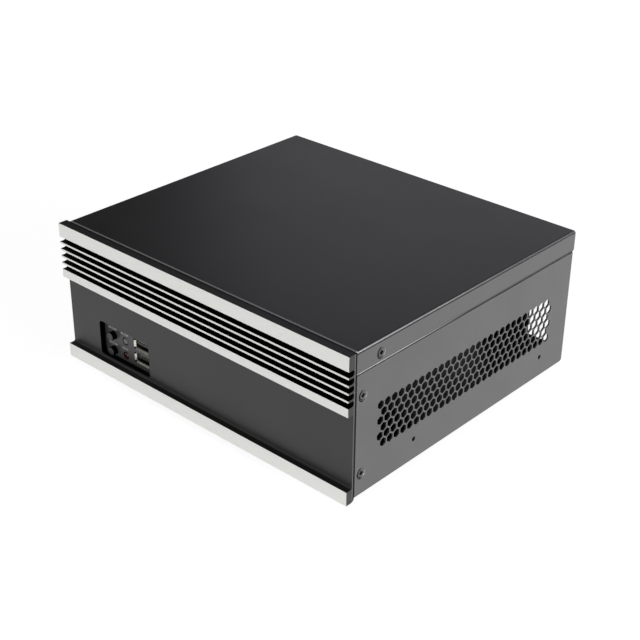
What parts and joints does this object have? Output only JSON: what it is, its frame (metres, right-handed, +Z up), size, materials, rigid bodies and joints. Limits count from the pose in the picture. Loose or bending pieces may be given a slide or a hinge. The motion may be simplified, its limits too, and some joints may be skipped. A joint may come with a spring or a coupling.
{
  "type": "mini-itx case",
  "caption": "Low desktop computer case for a mini-ITX board: finned aluminium front with a control window, folded steel body with honeycomb vents, screwed lid.",
  "frame": {"origin": "centre of the footprint, on the surface under the feet", "axes": "+X to the right seen from the front, +Y to the rear, +Z up"},
  "size_m": [0.24, 0.214, 0.0981],
  "materials": {
    "panel_aluminium": "black anodised, with the front faces machined bright",
    "painted_steel": "fine textured dark grey powder coat",
    "plated_steel": "satin black powder coat",
    "screw_steel": "black zinc",
    "brass": "plain",
    "socket_metal": "tinned",
    "black_plastic": "moulded",
    "circuit_board": "solder mask",
    "clear_lens": "clear",
    "red_lens": "tinted",
    "rubber": "matt"
  },
  "bodies": {
    "case": {"front_panel": "panel_aluminium", "top_cover": "painted_steel", "side_panel_left": "painted_steel", "side_panel_right": "painted_steel", "io_bracket": "painted_steel", "front_plate": "plated_steel", "rear_panel": "plated_steel", "base_tray": "plated_steel", "drive_bracket": "plated_steel", "psu_bracket": "plated_steel", "side_screws": "screw_steel", "cover_screws": "screw_steel", "rear_screws": "screw_steel", "panel_screws": "screw_steel", "base_screws": "screw_steel", "bracket_screws": "screw_steel", "drive_screws": "screw_steel", "foot_screws": "screw_steel", "board_screws": "screw_steel", "standoffs": "brass", "board_spacers": "brass", "usb_pins": "brass", "switch_pins": "brass", "usb_shell": "socket_metal", "usb_insulator": "black_plastic", "usb_header": "black_plastic", "switch_header": "black_plastic", "power_switch": "black_plastic", "reset_switch": "black_plastic", "switch_board": "circuit_board", "usb_board": "circuit_board", "power_led": "clear_lens", "drive_led": "red_lens", "foot_front_left": "rubber", "foot_front_right": "rubber", "foot_rear_left": "rubber", "foot_rear_right": "rubber"},
    "power_button": {"power_button": "black_plastic"},
    "reset_button": {"reset_button": "black_plastic"}
  },
  "joints": [
    {"name": "power_push", "type": "slide", "parent": "case", "child": "power_button", "axis": [0, 1, 0], "range_m": [0, 0.0012], "stiffness_N_per_m": 400},
    {"name": "reset_push", "type": "slide", "parent": "case", "child": "reset_button", "axis": [0, 1, 0], "range_m": [0, 0.0012], "stiffness_N_per_m": 400}
  ]
}
